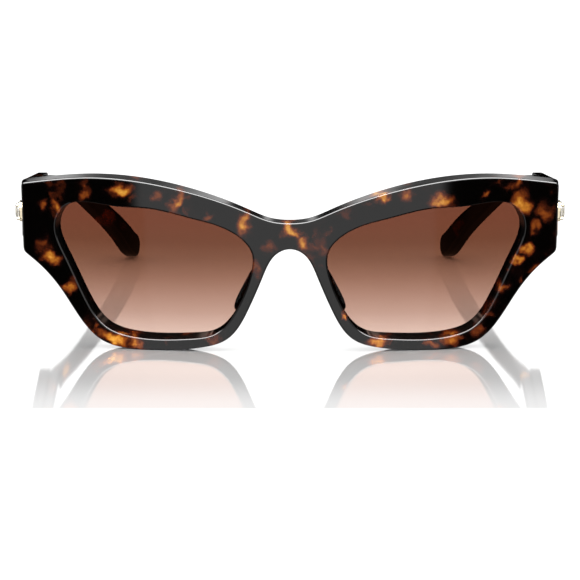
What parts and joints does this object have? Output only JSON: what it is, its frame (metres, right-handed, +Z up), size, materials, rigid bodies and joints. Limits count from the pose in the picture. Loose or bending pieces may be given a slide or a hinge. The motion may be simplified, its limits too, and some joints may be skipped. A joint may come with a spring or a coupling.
{
  "type": "cat eye sunglasses",
  "caption": "Angular cat eye sunglasses: wrapped tortoiseshell acetate front, brown gradient lenses, folding temples with gold-set crystals at the hinges.",
  "frame": {"origin": "on the surface that the sunglasses stand on, under the middle of their overall box", "axes": "+Z up, +Y from the front towards the tips of the open temples, +X towards the wearer's left"},
  "size_m": [0.148, 0.1438, 0.0469],
  "materials": {
    "tortoiseshell": "polished dark havana cellulose acetate with amber and red-brown flecks",
    "gradient_lens": "brown gradient tint, darker at the top",
    "pale_gold": "polished pale gold plating",
    "crystal": "clear faceted crystal",
    "hinge_steel": "satin nickel silver",
    "screw_steel": "machined stainless steel",
    "core_steel": "drawn nickel silver wire"
  },
  "bodies": {
    "front": {"front_frame": "tortoiseshell", "left_lens": "gradient_lens", "left_nose_pad": "tortoiseshell", "left_front_hinge_leaf": "hinge_steel", "left_hinge_screw": "screw_steel", "right_lens": "gradient_lens", "right_nose_pad": "tortoiseshell", "right_front_hinge_leaf": "hinge_steel", "right_hinge_screw": "screw_steel"},
    "left_temple": {"left_temple_arm": "tortoiseshell", "left_temple_bar": "tortoiseshell", "left_core_wire": "core_steel", "left_temple_hinge_leaf": "hinge_steel", "left_crystal_setting": "pale_gold", "left_crystal": "crystal"},
    "right_temple": {"right_temple_arm": "tortoiseshell", "right_temple_bar": "tortoiseshell", "right_core_wire": "core_steel", "right_temple_hinge_leaf": "hinge_steel", "right_crystal_setting": "pale_gold", "right_crystal": "crystal"}
  },
  "joints": [
    {"name": "left_temple_fold", "type": "hinge", "parent": "front", "child": "left_temple", "pos_m": [0.0642, -0.0559, 0.0346], "axis": [0, 0, 1], "range_deg": [0, 82]},
    {"name": "right_temple_fold", "type": "hinge", "parent": "front", "child": "right_temple", "pos_m": [-0.0642, -0.0559, 0.0346], "axis": [0, 0, -1], "range_deg": [0, 65]}
  ]
}
